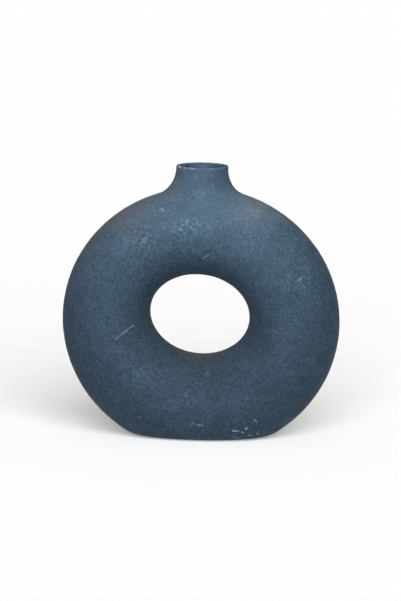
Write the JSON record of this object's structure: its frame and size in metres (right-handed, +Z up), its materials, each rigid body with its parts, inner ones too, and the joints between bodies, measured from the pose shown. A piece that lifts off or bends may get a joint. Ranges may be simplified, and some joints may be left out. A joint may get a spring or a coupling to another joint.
{
  "type": "donut vase",
  "caption": "Hollow ring-shaped stoneware vase standing on a flat foot, with an oval hole through the ring and a short flared neck on top.",
  "frame": {"origin": "on the surface the vase stands on, at the middle of the ring's width and depth", "axes": "+Z up through the neck, +X to the right along the ring's width, -Y towards the front, so the hole runs along Y"},
  "size_m": [0.2418, 0.0766, 0.238],
  "materials": {
    "glaze_blue": "matte slate-blue speckled glaze on stoneware",
    "bare_clay": "wiped unglazed stoneware on the underside of the foot",
    "slip": "fired joining slip, glazed over where it shows",
    "liner": "glossy dark blue liner glaze",
    "felt": "dark grey pressed felt"
  },
  "bodies": {
    "root": {"front_shell": "glaze_blue", "back_shell": "glaze_blue", "ring_seam": "slip", "neck": "glaze_blue", "neck_seam": "slip", "base_slab": "bare_clay", "base_seam": "slip", "liner_glaze": "liner", "foot_pads": "felt"}
  },
  "joints": []
}
